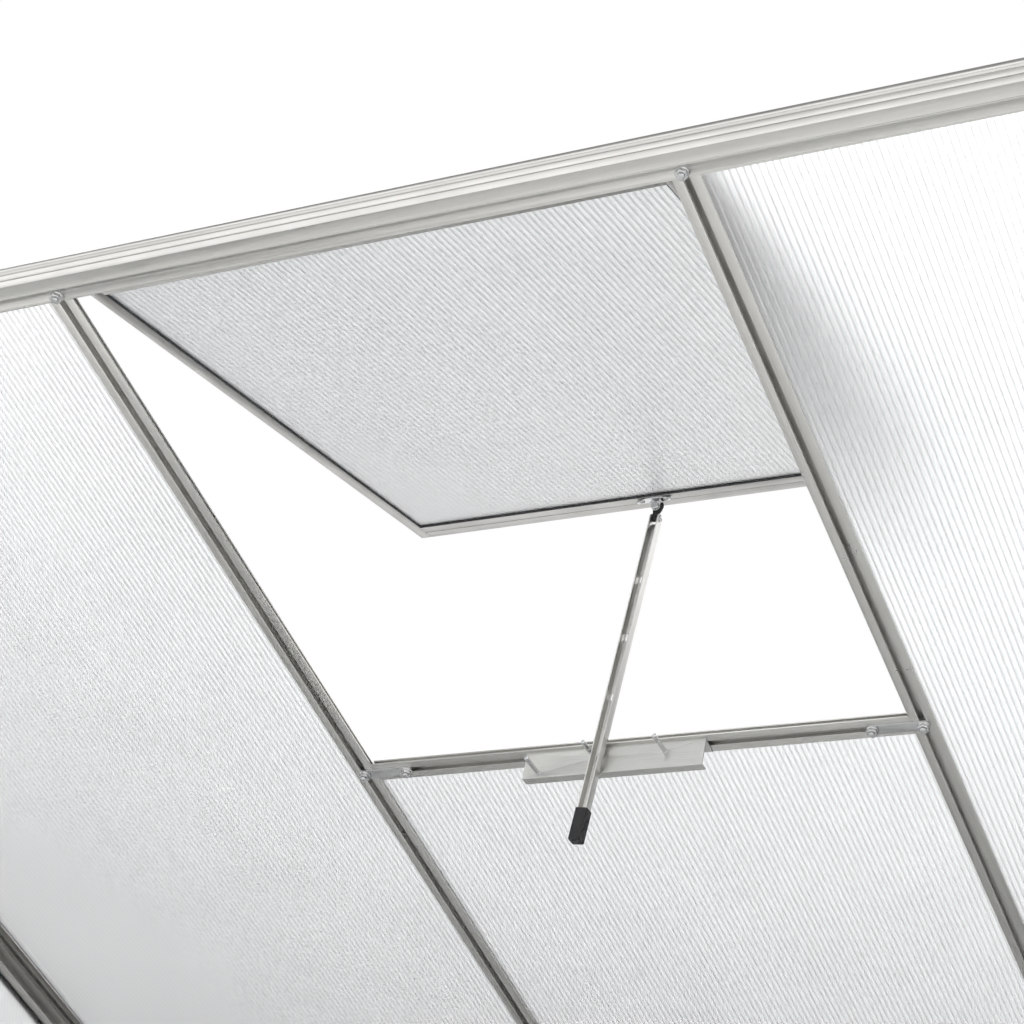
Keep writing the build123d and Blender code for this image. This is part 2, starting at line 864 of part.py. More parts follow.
def vent_side_rail():
    """Left side rail with its sheet slot and weather lip."""
    floor_z = panel_floor()
    outer = vent_half
    section = joined([
        rect(outer - side_rail, outer, under, floor_z),
        rect(outer - side_rail, outer, floor_z + slot, floor_z + slot + wall),
        rect(outer - wall, outer, under, lip_z + wall),
        rect(outer - wall, outer + weather_side, lip_z, lip_z + wall),
    ])
    rail = along_y(section, vent_low, vent_top)
    return vent * rail


def vent_bottom_rail():
    """Wide bottom rail: sheet slot, box section and weather lip over the sill."""
    floor_z = panel_floor()
    low = vent_low
    box_y = low + bottom_rail - 11.0
    section = joined([
        rect(low, low + bottom_rail, under, floor_z),
        rect(low, low + bottom_rail, floor_z + slot, floor_z + slot + wall),
        rect(box_y - wall, box_y, under, floor_z + slot + wall),
        rect(low, low + wall, under, lip_z + wall),
        rect(low - weather_low, low + wall, lip_z, lip_z + wall),
    ])
    groove_y = low + bottom_rail * 0.52
    section = section - rect(groove_y - 0.5, groove_y + 0.5, under - 1, under + 0.5)
    half = vent_half - side_rail - 0.2
    return vent * along_x(section, -half, half)


def vent_panel():
    """Vent sheet, flutes down the slope."""
    width = 2 * (vent_half - wall - edge_gap)
    low = vent_low + bottom_rail - 11.0 + edge_gap
    high = vent_top - wall - edge_gap
    return vent * Pos(0, low, panel_floor() + slot_gap) * twin_wall(width, high - low)


def vent_gasket():
    """Rubber strip round the sheet where it enters the rails."""
    lip = 0.9
    half = vent_half - side_rail
    high = vent_top - 16.0
    low = vent_low + bottom_rail
    z0 = under + 0.5
    z1 = panel_floor() + slot_gap - 0.02
    outer = box(-half, half, low, high, z0, z1)
    return vent * (outer - box(lip - half, half - lip, low + lip, high - lip, z0 - 1, z1 + 1))


def corner_plates():
    """Flat corner plates that tie the side rails to the bottom rail."""
    level = panel_floor() + slot + wall
    inner = vent_half - wall - 0.3
    low = vent_low + wall + 0.3
    plates = joined([
        box(inner - 10, inner, low, low + 40, level, level + plate),
        box(inner - 40, inner, low, low + 10, level, level + plate),
    ])
    left = vent * plates
    return group([left, mirrored(left)])


def corner_rivets():
    """Rivets of the corner plates."""
    level = panel_floor() + slot + wall
    inner = vent_half - wall - 5.3
    low = vent_low + wall + 5.3
    shapes = []
    for x, y in ((inner, low + 15), (inner, low + 30), (inner - 15, low), (inner - 30, low)):
        rivet = Pos(x, y, level + plate) * rod(2.6, 1.2)
        one = vent * rivet
        shapes.extend([one, mirrored(one)])
    return group(shapes)


# ---------------------------------------------------------------- stay
def ear_face():
    """Ridge side of the bracket ear, from the stay centre line."""
    return eye / 2 + joint_gap + plate


def stay_bracket():
    """Bent steel bracket under the bottom rail with a round ear."""
    rear = stay_y + ear_face()
    top = under
    wings = box(-19, 19, rear - plate, rear + 10, top - plate, top)
    tail = joined([
        box(7.5, 19, rear - 5, rear, top - plate, top),
        box(-19, -7.5, rear - 5, rear, top - plate, top),
    ])
    disc = Pos(0, rear, swivel_z) * Rot(90, 0, 0) * rod(ear_r, plate)
    neck = box(-ear_r, ear_r, rear - plate, rear, swivel_z, top - 0.1)
    shape = joined([wings, tail, disc, neck])
    shape = shape - Pos(0, rear + 1, swivel_z) * Rot(90, 0, 0) * rod(2.6, plate + 2)
    for side in (-1, 1):
        shape = shape - Pos(side * 13.5, rear + 4, top - plate - 1) * rod(2.1, plate + 2)
    return vent * shape


def stay_bracket_screws():
    """Two screws up into the bottom rail."""
    rear = stay_y + ear_face()
    shapes = []
    for side in (-1, 1):
        head = Pos(0, 0, -plate - 1.8) * rod(3.4, 1.8)
        screw = head + Pos(0, 0, -plate) * rod(1.9, plate)
        shapes.append(vent * Pos(side * 13.5, rear + 4, under) * screw)
    return group(shapes)


def swivel_bolt():
    """Bolt and nut through the ear, the axis of the sideways swing."""
    rear = stay_y + ear_face()
    turn = Rot(90, 0, 0)
    shank_long = ear_face() + eye / 2 + joint_gap + 4.2
    head = Pos(0, rear + 3.0, swivel_z) * turn * rod(3.8, 3.0)
    shank = Pos(0, rear + 0.1, swivel_z) * turn * rod(2.45, shank_long)
    nut = Pos(0, stay_y - eye / 2 - joint_gap, swivel_z) * turn * hex_rod(8.0, 3.6)
    nut = nut - Pos(0, rear, swivel_z) * turn * rod(2.5, 40)
    return vent * group([head + shank, nut])


def stay_link():
    """Moulded link: upper eye across the slope, lower tongue in the arm."""
    upper_r = 5.2
    tongue = stay_width - 2 * stay_wall - 2 * joint_gap
    upper = Pos(0, eye / 2, 0) * Rot(90, 0, 0) * rod(upper_r, eye)
    neck = box(-tongue / 2, tongue / 2, -eye / 2, eye / 2, -pin_drop, -1)
    lower = Pos(-tongue / 2, 0, -pin_drop) * Rot(0, 90, 0) * rod(3.6, tongue)
    shape = joined([upper, neck, lower])
    shape = shape - Pos(0, eye, 0) * Rot(90, 0, 0) * rod(2.6, 3 * eye)
    shape = shape - Pos(-10, 0, -pin_drop) * Rot(0, 90, 0) * rod(2.15, 20)
    return link * shape


def stay_arm():
    """Channel arm with a row of slots in its base, open towards the ridge."""
    half = stay_width / 2
    section = rect(-half, half, -half, half) - rect(
        stay_wall - half, half - stay_wall, stay_wall - half, half + 1
    )
    arm = along_z(section, -stay_end, half)
    # the top is rounded about the pin and the base is cut back for the link
    corner = box(-half - 1, half + 1, -half - 1, half + 1, 0, half + 1)
    corner = corner - Pos(-half - 2, 0, 0) * Rot(0, 90, 0) * rod(half, stay_width + 4)
    arm = arm - corner
    arm = arm - box(stay_wall - half, half - stay_wall, -half - 1, 0, -4.5, half + 1)
    arm = arm - Pos(-half - 2, 0, 0) * Rot(0, 90, 0) * rod(2.1, stay_width + 4)
    for index in range(hole_count):
        slot_cut = extrude(SlotOverall(hole_long, hole_wide, rotation=90), 6)
        place = Pos(0, stay_wall - half + 2, -hole_first - index * hole_pitch)
        arm = arm - place * Rot(90, 0, 0) * slot_cut
    return stay * arm


def stay_pin():
    """Rivet through the arm and the link, the axis of the fore-and-aft swing."""
    half = stay_width / 2
    pin = Pos(-half, 0, 0) * Rot(0, 90, 0) * rod(2.0, stay_width)
    for side in (-1, 1):
        head = Pos(side * (half + 0.9), 0, 0) * Rot(0, 90, 0) * Cylinder(3.6, 1.8)
        pin = pin + head
    return stay * pin


def stay_end_cap():
    """Soft cap pushed over the end of the arm."""
    half = stay_width / 2
    outer = half + cap_wall
    low = -stay_end - 3.5
    body = box(-outer, outer, -outer, outer, low, low + cap_length)
    body = fillet(body.edges().filter_by(Axis.Z), 1.2)
    body = chamfer(body.faces().sort_by(Axis.Z)[0].edges(), 0.8)
    pocket = box(-half - 0.05, half + 0.05, -half - 0.05, half + 0.05, -stay_end - 0.05, 0)
    return stay * (body - pocket)


def wall_bar_end_cap():
    """Left moulded cap on the end of the wall bar's back face."""
    bead_r = hinge_r + hinge_play + hinge_wall
    section = joined([
        Pos(bead_back, bead_rise) * Circle(bead_r),
        rect(back_face - 2 * back_web, back_face, back_rise + 3, bead_rise),
    ])
    x0 = side_x - joint_gap - 0.7
    return Pos(0, ridge_y, ridge_z) * along_x(section, x0, x0 + 2.0)


# ---------------------------------------------------------------- assembly
def nodes():
    """Every sub-part by its node name."""
    rafter = end_rafter()
    strap = sill_strap()
    post = front_post()
    rear = wall_post()
    stud = side_stud()
    rail = base_rail_side()
    side = vent_side_rail()
    roof_side = roof_panel_side()
    cap = wall_bar_end_cap()
    stud_y = side_stud_y()
    edge = slot_edge()
    side_front = side_panel(side_sheet_start(), stud_y - edge)
    side_rear = side_panel(stud_y + edge, side_sheet_end())
    front_side_width = front_sheet_end() - half_bay - edge
    front_side = front_panel(half_bay + edge + front_side_width / 2, front_side_width)
    cap_inset = outer_face + 1.0
    cap_side = panel_end_cap(half_bay + end_bay / 2, end_bay - cap_inset)
    caps = group([cap_side, mirrored(cap_side), panel_end_cap(0, bay - cap_inset)])
    return {
        "wall_bar": wall_bar(),
        "wall_bar_end_cap_left": cap,
        "wall_bar_end_cap_right": mirrored(cap),
        "eave_bar": eave_bar(),
        "end_rafter_left": rafter,
        "end_rafter_right": mirrored(rafter),
        "glazing_bar_left": glazing_bar(half_bay),
        "glazing_bar_right": glazing_bar(-half_bay),
        "vent_sill": vent_sill(),
        "sill_strap_left": strap,
        "sill_strap_right": mirrored(strap),
        "peg_bracket": peg_bracket(),
        "bracket_pegs": bracket_pegs(),
        "roof_panel_left": roof_side,
        "roof_panel_right": mirrored(roof_side),
        "roof_panel_centre": roof_panel_centre(),
        "roof_panel_end_caps": caps,
        "front_panel_left": front_side,
        "front_panel_centre": front_panel(0, bay - 2 * edge),
        "front_panel_right": mirrored(front_side),
        "side_panel_left_front": side_front,
        "side_panel_left_rear": side_rear,
        "side_panel_right_front": mirrored(side_front),
        "side_panel_right_rear": mirrored(side_rear),
        "front_post_left": post,
        "front_post_right": mirrored(post),
        "wall_post_left": rear,
        "wall_post_right": mirrored(rear),
        "front_stud_left": front_stud(half_bay),
        "front_stud_right": front_stud(-half_bay),
        "side_stud_left": stud,
        "side_stud_right": mirrored(stud),
        "base_rail_front": base_rail_front(),
        "base_rail_left": rail,
        "base_rail_right": mirrored(rail),
        "wall_straps": wall_straps(),
        "rafter_angles": rafter_angles(),
        "foot_screws": foot_screws(),
        "roof_bolts": roof_bolts(),
        "roof_nuts": roof_nuts(),
        "wall_bolts": wall_bolts(),
        "wall_nuts": wall_nuts(),
        "vent_hinge_rail": vent_hinge_rail(),
        "vent_side_rail_left": side,
        "vent_side_rail_right": mirrored(side),
        "vent_bottom_rail": vent_bottom_rail(),
        "vent_panel": vent_panel(),
        "vent_gasket": vent_gasket(),
        "vent_corner_plates": corner_plates(),
        "vent_corner_rivets": corner_rivets(),
        "stay_bracket": stay_bracket(),
        "stay_bracket_screws": stay_bracket_screws(),
        "swivel_bolt": swivel_bolt(),
        "stay_link": stay_link(),
        "stay_arm": stay_arm(),
        "stay_pin": stay_pin(),
        "stay_end_cap": stay_end_cap(),
    }


os.makedirs("parts", exist_ok=True)
for name, shape in nodes().items():
    export_step(shape, f"parts/{name}.step")
hinge = vent_closed.position
swivel = link.position
pin = stay.position
print("vent hinge", [round(v, 3) for v in hinge])
print("swivel", [round(v, 3) for v in swivel], "axis", (vent * Pos(0, 1, 0)).position - vent.position)
print("stay pin", [round(v, 3) for v in pin], "axis", (stay * Pos(1, 0, 0)).position - stay.position)
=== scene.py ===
import bpy
import bmesh
import json
from math import cos, pi, radians, sin
from mathutils import Matrix, Vector


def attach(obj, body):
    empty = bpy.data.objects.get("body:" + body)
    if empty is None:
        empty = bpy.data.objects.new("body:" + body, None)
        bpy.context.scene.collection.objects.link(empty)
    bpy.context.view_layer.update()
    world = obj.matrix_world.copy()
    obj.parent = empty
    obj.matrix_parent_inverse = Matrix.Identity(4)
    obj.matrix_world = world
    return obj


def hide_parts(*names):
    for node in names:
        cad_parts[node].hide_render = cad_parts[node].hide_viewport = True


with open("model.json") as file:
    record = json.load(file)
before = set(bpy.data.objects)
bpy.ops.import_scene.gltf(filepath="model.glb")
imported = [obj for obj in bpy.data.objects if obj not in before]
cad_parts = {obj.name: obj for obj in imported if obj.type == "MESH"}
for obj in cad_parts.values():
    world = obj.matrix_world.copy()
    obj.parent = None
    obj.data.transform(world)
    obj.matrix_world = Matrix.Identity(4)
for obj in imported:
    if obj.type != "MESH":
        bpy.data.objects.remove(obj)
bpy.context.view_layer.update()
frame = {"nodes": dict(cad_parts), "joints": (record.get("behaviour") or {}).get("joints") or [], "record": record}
nodes = frame["nodes"]
joints = {joint["name"]: joint for joint in frame["joints"]}
mm = 0.001
print("frame loaded,", len(nodes), "nodes")


# camera: behind and below the roof, looking up at the open vent
view = {
    "place": (-1.0038, 2.1697, 0.1157),
    "target": (-0.0112, 0.2668, 0.7946),
    "rollDeg": 1.105,
    "lensMm": 87.7,
    "sensorMm": 36,
    "clip": (0.01, 60),
}


def newObject(name, data):
    obj = bpy.data.objects.new(name, data)
    bpy.context.scene.collection.objects.link(obj)
    return obj


def aimed(place, target):                                # stands at one point and looks at another
    look = Vector(target) - Vector(place)
    return Matrix.Translation(place) @ look.to_track_quat("-Z", "Y").to_matrix().to_4x4()


def addCamera():
    data = bpy.data.cameras.new("camera")
    data.lens = view["lensMm"]
    data.sensor_width = view["sensorMm"]
    data.clip_start, data.clip_end = view["clip"]
    cam = newObject("camera", data)
    roll = Matrix.Rotation(radians(view["rollDeg"]), 4, "Z")
    cam.matrix_world = aimed(view["place"], view["target"]) @ roll
    bpy.context.scene.camera = cam


addCamera()
print("camera placed")


# the roof's own directions: its pitch is given, the rest is read from the frame
roofPitch = radians(30)
openAngle = -radians(joints["vent_hinge"]["range_deg"][0])
roofTurn = Matrix.Rotation(roofPitch, 3, "X")            # x across, y up the slope, z outwards
ventTurn = Matrix.Rotation(roofPitch - openAngle, 3, "X")
roofOut = roofTurn @ Vector((0, 0, 1))
ventOut = ventTurn @ Vector((0, 0, 1))
swivelSpot = Vector(joints["stay_side_swing"]["pos_m"])
swivelAxis = Vector(joints["stay_side_swing"]["axis"]).normalized()
pinSpot = Vector(joints["stay_swing"]["pos_m"])
pinAxis = Vector(joints["stay_swing"]["axis"]).normalized()


def frameTurn(x, z):                                     # a turn from two of its directions
    return Matrix((x, z.cross(x), z)).transposed()


def middle(points):
    return sum(points, Vector()) / len(points)


linkTurn = frameTurn(pinAxis, pinAxis.cross(swivelAxis).normalized())
capMiddle = middle([vert.co for vert in nodes["stay_end_cap"].data.vertices])
stayTurn = frameTurn(pinAxis, (pinSpot - capMiddle).normalized())


# materials
def srgb(code):
    parts = [int(code[k:k + 2], 16) / 255 for k in (0, 2, 4)]
    return [c / 12.92 if c <= 0.04045 else ((c + 0.055) / 1.055) ** 2.4 for c in parts] + [1.0]


def addNode(tree, kind, settings=None, links=None):
    node = tree.nodes.new(kind)
    for key, value in (settings or {}).items():
        if key in node.inputs:
            node.inputs[key].default_value = value
        else:
            setattr(node, key, value)
    for key, source in (links or {}).items():
        tree.links.new(source, node.inputs[key])
    return node


def newMaterial(name):                                   # with its nodes and the object's own coordinates
    material = bpy.data.materials.new(name)
    material.use_nodes = True
    tree = material.node_tree
    tree.nodes.clear()
    return material, tree, addNode(tree, "ShaderNodeTexCoord").outputs["Object"]


def surface(tree, settings, links):
    shader = addNode(tree, "ShaderNodeBsdfPrincipled", settings, links)
    addNode(tree, "ShaderNodeOutputMaterial", links={"Surface": shader.outputs[0]})


def ramp(tree, source, low, high, start=0.3, end=0.7):
    node = addNode(tree, "ShaderNodeValToRGB", links={"Fac": source})
    node.color_ramp.elements[0].position = start
    node.color_ramp.elements[0].color = low
    node.color_ramp.elements[1].position = end
    node.color_ramp.elements[1].color = high
    return node.outputs["Color"]


def noise(tree, place, scale, detail, roughness=0.5):
    node = addNode(tree, "ShaderNodeTexNoise", {"Scale": scale, "Detail": detail, "Roughness": roughness},
                   {"Vector": place})
    return node.outputs["Fac"]


def spread(tree, source, low, high):                     # the middle of a noise, stretched over a range
    node = addNode(tree, "ShaderNodeMapRange", {"From Min": 0.3, "From Max": 0.7, "To Min": low, "To Max": high},
                   {"Value": source})
    return node.outputs["Result"]


def relief(tree, source, strength, depth):
    node = addNode(tree, "ShaderNodeBump", {"Strength": strength, "Distance": depth * mm}, {"Height": source})
    return node.outputs["Normal"]


def scaled(tree, place, sizes):                          # one cell of a pattern measures these sizes, in mm
    scale = [1 / (size * mm) for size in sizes]
    return addNode(tree, "ShaderNodeMapping", {"Scale": scale}, {"Vector": place}).outputs[0]


def turned(tree, place, turn):
    node = addNode(tree, "ShaderNodeMapping", {"vector_type": "TEXTURE", "Rotation": turn.to_euler()},
                   {"Vector": place})
    return node.outputs[0]


extrusion = {
    "dieLineMm": 0.9,        # spacing of the fine lines the die leaves
    "streakMm": 6.0,         # broader tone bands across a face
    "runMm": 420.0,          # how long a line keeps its tone
    "smearScale": 22.0,
    "bright": ("D2D1CE", "DFDEDB"),
    "paintedShade": ("ABAAA8", "B8B7B5"),        # painted shade: a darker copy of the same alloy for the vent's rails, because their undersides mirror the pale floor and rendered too pale
    "rough": (0.27, 0.40),
    "lineStrength": 0.35,
    "lineDepth": 0.018,
}


# aluminium, pressed through a die and left mill finish: a soft satin metal with faint lines along the bar
def extrudedAluminium(name, turn, shade="bright"):
    material, tree, place = newMaterial(name)
    lay = turned(tree, place, turn)
    run = extrusion["runMm"]
    fine, wide = extrusion["dieLineMm"], extrusion["streakMm"]
    lines = noise(tree, scaled(tree, lay, (fine, run, fine)), 1.0, 2.0)
    bands = noise(tree, scaled(tree, lay, (wide, run, wide)), 1.0, 3.0, 0.55)
    smear = noise(tree, place, extrusion["smearScale"], 4.0, 0.6)
    # for the vent's rails this picks the darker tones, which are painted shade and not a different alloy
    dark, pale = extrusion[shade]
    surface(tree, {"Metallic": 1.0}, {
        "Base Color": ramp(tree, bands, srgb(dark), srgb(pale)),
        "Roughness": spread(tree, smear, *extrusion["rough"]),
        "Normal": relief(tree, lines, extrusion["lineStrength"], extrusion["lineDepth"])})
    return material


zincPlate = {
    "dark": "CACBCC",
    "pale": "D6D7D8",
    "blotchMm": 14.0,
    "gritMm": 0.5,
    "gritStrength": 0.1,
    "gritDepth": 0.01,
    "rough": (0.20, 0.26),
}


# steel with bright zinc plating: crisper than the bars, with small cloudy patches
def platedSteel(name):
    material, tree, place = newMaterial(name)
    cloud = noise(tree, place, 1 / (zincPlate["blotchMm"] * mm), 4.0)
    grit = noise(tree, place, 1 / (zincPlate["gritMm"] * mm), 2.0)
    surface(tree, {"Metallic": 1.0}, {
        "Base Color": ramp(tree, cloud, srgb(zincPlate["dark"]), srgb(zincPlate["pale"])),
        "Roughness": spread(tree, cloud, *zincPlate["rough"]),
        "Normal": relief(tree, grit, zincPlate["gritStrength"], zincPlate["gritDepth"])})
    return material


rolledSheet = {
    "dark": "CBCBC8",
    "pale": "D8D8D5",
    "grainMm": 0.7,
    "runMm": 40.0,           # how long a line of the grain is
    "grainStrength": 0.2,
    "grainDepth": 0.02,
    "rough": (0.42, 0.52),
}


# aluminium sheet, rolled and bent: paler and more matt than the bars, a faint grain along its length
def rolledAluminium(name):
    material, tree, place = newMaterial(name)
    fine = rolledSheet["grainMm"]
    grain = noise(tree, scaled(tree, place, (rolledSheet["runMm"], fine, fine)), 1.0, 3.0)
    surface(tree, {"Metallic": 1.0}, {
        "Base Color": ramp(tree, grain, srgb(rolledSheet["dark"]), srgb(rolledSheet["pale"])),
        "Roughness": spread(tree, grain, *rolledSheet["rough"]),
        "Normal": relief(tree, grain, rolledSheet["grainStrength"], rolledSheet["grainDepth"])})
    return material


nylon = {
    "black": "17181A",
    "grey": "232426",
    "flowScale": 90.0,
    "grainMm": 0.35,
    "grainStrength": 0.3,
    "grainDepth": 0.04,
    "rough": (0.42, 0.55),
}


# nylon, injection moulded: near black with a fine grain
def mouldedNylon(name):
    material, tree, place = newMaterial(name)
    grain = noise(tree, place, 1 / (nylon["grainMm"] * mm), 3.0)
    flow = noise(tree, place, nylon["flowScale"], 2.0)
    surface(tree, {"IOR": 1.53}, {
        "Base Color": ramp(tree, flow, srgb(nylon["black"]), srgb(nylon["grey"])),
        "Roughness": spread(tree, grain, *nylon["rough"]),
        "Normal": relief(tree, grain, nylon["grainStrength"], nylon["grainDepth"])})
    return material


seal = {"dark": "37393B", "dust": "45484A", "rough": 0.72, "chalkMm": 8.0, "chalkStrength": 0.2, "chalkDepth": 0.05}


# rubber, extruded: matt dark grey with a little chalky dust
def sealRubber(name):
    material, tree, place = newMaterial(name)
    chalk = noise(tree, place, 1 / (seal["chalkMm"] * mm), 4.0)
    surface(tree, {"IOR": 1.52, "Roughness": seal["rough"]}, {
        "Base Color": ramp(tree, chalk, srgb(seal["dark"]), srgb(seal["dust"])),
        "Normal": relief(tree, chalk, seal["chalkStrength"], seal["chalkDepth"])})
    return material


polycarbonate = {
    "clear": "FFFFFF",
    "line": "F6F9FA",        # the tone of the faint lines
    "lineEnds": (0.02, 0.35),            # where in a flute's wave the line fades into the clear tone
    "fluteMm": 6.0,          # spacing of the inner webs, and of the lines
    "rough": 0.34,
    "roughSpread": 0.01,
    "cloudMm": 90.0,         # size of the patches that differ a little in roughness
}


# extruded polycarbonate twin-wall: it scatters what is behind it, with faint lines at the webs' spacing
def twinWallSheet(name, turn):
    material, tree, place = newMaterial(name)
    period = polycarbonate["fluteMm"] * mm               # a wave of scale 1 repeats every pi / 10
    flutes = addNode(tree, "ShaderNodeTexWave", {"wave_type": "BANDS", "bands_direction": "X",
                     "Scale": pi / 10 / period, "Distortion": 0.0}, {"Vector": turned(tree, place, turn)})
    cloud = noise(tree, place, 1 / (polycarbonate["cloudMm"] * mm), 1.0)
    rough, change = polycarbonate["rough"], polycarbonate["roughSpread"]
    surface(tree, {"IOR": 1.585, "Transmission Weight": 1.0}, {
        "Base Color": ramp(tree, flutes.outputs["Fac"], srgb(polycarbonate["line"]),
                           srgb(polycarbonate["clear"]), *polycarbonate["lineEnds"]),
        "Roughness": spread(tree, cloud, rough - change, rough + change)})
    return material


alongX = Matrix.Rotation(radians(90), 3, "Z")             # turns that lay a bar's length on y
alongZ = Matrix.Rotation(radians(90), 3, "X")
finishes = {
    "slopeBar": extrudedAluminium("extruded aluminium, up the slope", roofTurn),
    "levelBar": extrudedAluminium("extruded aluminium, across", alongX),
    "uprightBar": extrudedAluminium("extruded aluminium, upright", alongZ),
    "groundBar": extrudedAluminium("extruded aluminium, front to back", Matrix.Identity(3)),
    # the vent's rails take a darker copy of the same alloy: painted shade against their pale floor reflection
    "ventBar": extrudedAluminium("extruded aluminium, down the vent, painted shade", ventTurn, "paintedShade"),
    "ventLevelBar": extrudedAluminium("extruded aluminium, across the vent, painted shade", alongX, "paintedShade"),
    "stayBar": extrudedAluminium("extruded aluminium, along the stay", stayTurn @ alongZ),
    "rolled": rolledAluminium("rolled aluminium sheet, bent"),
    "zinc": platedSteel("zinc plated steel"),
    "nylon": mouldedNylon("moulded black nylon"),
    "rubber": sealRubber("extruded rubber seal"),
    "roofSheet": twinWallSheet("extruded polycarbonate, roof", roofTurn),
    "ventSheet": twinWallSheet("extruded polycarbonate, vent", ventTurn),
    "wallSheet": twinWallSheet("extruded polycarbonate, front", alongZ),
    "sideSheet": twinWallSheet("extruded polycarbonate, sides", alongX @ alongZ),
}
print("materials made:", len(finishes))


def dress(obj, key):
    obj.data.materials.clear()
    obj.data.materials.append(finishes[key])


wear = {
    "slopeBar": ["end_rafter_left", "end_rafter_right", "glazing_bar_left", "glazing_bar_right"],
    "levelBar": ["wall_bar", "eave_bar", "vent_sill", "base_rail_front", "roof_panel_end_caps"],
    "ventLevelBar": ["vent_hinge_rail", "vent_bottom_rail"],
    "uprightBar": ["front_post_left", "front_post_right", "wall_post_left", "wall_post_right",
                   "front_stud_left", "front_stud_right", "side_stud_left", "side_stud_right"],
    "groundBar": ["base_rail_left", "base_rail_right"],
    "ventBar": ["vent_side_rail_left", "vent_side_rail_right"],
    "stayBar": ["stay_arm"],
    "rolled": ["peg_bracket", "vent_corner_plates"],
    "zinc": ["sill_strap_left", "sill_strap_right", "bracket_pegs", "wall_straps", "rafter_angles",
             "foot_screws", "roof_bolts", "roof_nuts", "wall_bolts", "wall_nuts", "vent_corner_rivets",
             "stay_bracket", "stay_bracket_screws", "swivel_bolt", "stay_pin"],
    "nylon": ["stay_link", "stay_end_cap", "wall_bar_end_cap_left", "wall_bar_end_cap_right"],
    "rubber": ["vent_gasket"],
    "roofSheet": ["roof_panel_left", "roof_panel_right", "roof_panel_centre"],
    "ventSheet": ["vent_panel"],
    "wallSheet": [name for name in nodes if name.startswith("front_panel")],
    "sideSheet": [name for name in nodes if name.startswith("side_panel")],
}
for key, names in wear.items():
    for name in names:
        dress(nodes[name], key)
print("frame dressed")


# small pieces: each is built upright at the origin, then laid where the frame has it
def toObject(name, bm, key, body, *stands):
    mesh = bpy.data.meshes.new(name)
    bm.to_mesh(mesh)
    bm.free()
    piece = newObject(name, mesh)
    mesh.materials.append(finishes[key])
    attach(piece, body)
    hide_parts(*stands)
    replaced.update(stands)
    return piece


replaced = set()


def islands(name):                                       # the separate solids of a node, as lists of points
    bm = bmesh.new()
    bm.from_mesh(nodes[name].data)
    bmesh.ops.remove_doubles(bm, verts=bm.verts, dist=0.01 * mm)
    left = set(bm.verts)
    groups = []
    while left:
        todo = [left.pop()]
        found = []
        while todo:
            vert = todo.pop()
            found.append(vert.co.copy())
            for edge in vert.link_edges:
                other = edge.other_vert(vert)
                if other in left:
                    left.remove(other)
                    todo.append(other)
        groups.append(found)
    bm.free()
    return sorted(groups, key=lambda points: tuple(round(c, 4) for c in boxMiddle(points)))


def boxMiddle(points):
    low = Vector([min(p[i] for p in points) for i in range(3)])
    high = Vector([max(p[i] for p in points) for i in range(3)])
    return (low + high) / 2


def reach(points, axis):                                 # lowest and highest point along a direction
    along = [p.dot(axis) for p in points]
    return min(along), max(along)


def standing(axis, side=Vector((1, 0, 0))):              # a turn whose z is the axis
    z = axis.normalized()
    if abs(z.dot(side)) > 0.9:
        side = Vector((0, 1, 0))
    return frameTurn((side - side.dot(z) * z).normalized(), z)


def axisLine(spot, axis):                                # the spot, moved along the axis to height 0
    return spot - axis * spot.dot(axis)


sharp = radians(50)


def soften(bm, edges, offset, segments=2):               # rounds edges off by an offset in mm
    bmesh.ops.bevel(bm, geom=edges, offset=offset * mm, segments=segments, profile=0.5, affect="EDGES",
                    material=-1)


def thicken(bm, faces, way):                             # grows faces into a plate and gives its new points
    grown = bmesh.ops.extrude_face_region(bm, geom=faces)["geom"]
    moved = [part for part in grown if isinstance(part, bmesh.types.BMVert)]
    bmesh.ops.translate(bm, verts=moved, vec=way)
    bmesh.ops.recalc_face_normals(bm, faces=bm.faces)
    return moved


def lathe(bm, outline, steps):                           # (radius, height) points, in mm, spun about z
    made = []
    for radius, height in outline:
        made.append(bm.verts.new((radius * mm, 0, height * mm)))
    edges = [bm.edges.new(pair) for pair in zip(made, made[1:])]
    bmesh.ops.spin(bm, geom=made + edges, cent=(0, 0, 0), axis=(0, 0, 1), angle=2 * pi, steps=steps,
                   use_merge=True)
    bmesh.ops.remove_doubles(bm, verts=bm.verts, dist=0.001 * mm)


def settle(bm, part, turn, spot):                        # lays a part where it belongs and joins it to its group
    bmesh.ops.remove_doubles(part, verts=part.verts, dist=0.002 * mm)
    bmesh.ops.recalc_face_normals(part, faces=part.faces)
    part.transform(Matrix.Translation(spot) @ turn.to_4x4())
    carrier = bpy.data.meshes.new("carrier")
    part.to_mesh(carrier)
    part.free()
    bm.from_mesh(carrier)
    bpy.data.meshes.remove(carrier)


fastener = {
    "acrossFlats": 10.0,
    "nutHeight": 4.9,
    "hexFrom": 1.1,          # where the hexagon starts, inside the flange
    "nutRounding": 0.5,
    "flangeRadius": 5.9,     # the washer face of the nut
    "boltRadius": 2.95,
    "threadPitch": 1.0,
    "threadDepth": 0.45,
    "threadFrom": 0.7,       # the plain tip of the bolt ends here
    "headFlats": 9.9,
    "headHeight": 4.0,
    "headRounding": 0.4,
}


def hexagon(bm, flats, height, middleHeight):
    radius = flats / 2 / cos(radians(30)) * mm
    made = bmesh.ops.create_cone(bm, cap_ends=True, segments=6, radius1=radius, radius2=radius,
                                 depth=height * mm)["verts"]
    bmesh.ops.translate(bm, verts=made, vec=(0, 0, middleHeight * mm))
    return made


